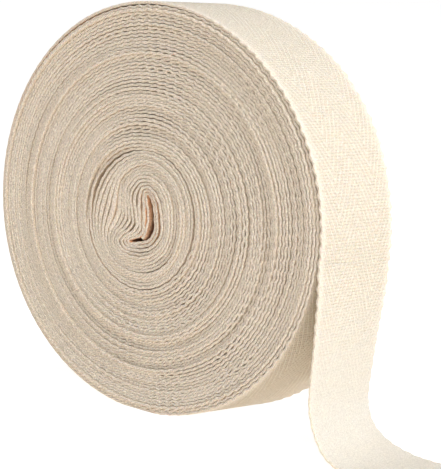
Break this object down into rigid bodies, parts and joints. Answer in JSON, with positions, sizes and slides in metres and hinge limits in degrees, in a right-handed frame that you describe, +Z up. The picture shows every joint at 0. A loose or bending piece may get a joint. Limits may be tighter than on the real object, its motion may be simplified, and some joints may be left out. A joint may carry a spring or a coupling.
{
  "type": "roll of twill tape",
  "caption": "Coreless roll of natural cotton herringbone twill tape standing on its rim, with its outer end hanging off and turning out along the surface.",
  "frame": {"origin": "the middle of the small flat spot that the roll stands on, half way across the tape's width", "axes": "+Z up, Y along the winding axis with the face that shows looking along -Y, +X towards the side where the loose end leaves and lies"},
  "size_m": [0.146, 0.0307, 0.0949],
  "materials": {
    "cotton_tape": "matte natural cotton in a herringbone twill weave"
  },
  "bodies": {
    "root": {"wound_tape": "cotton_tape", "loose_end": "cotton_tape"}
  },
  "joints": []
}
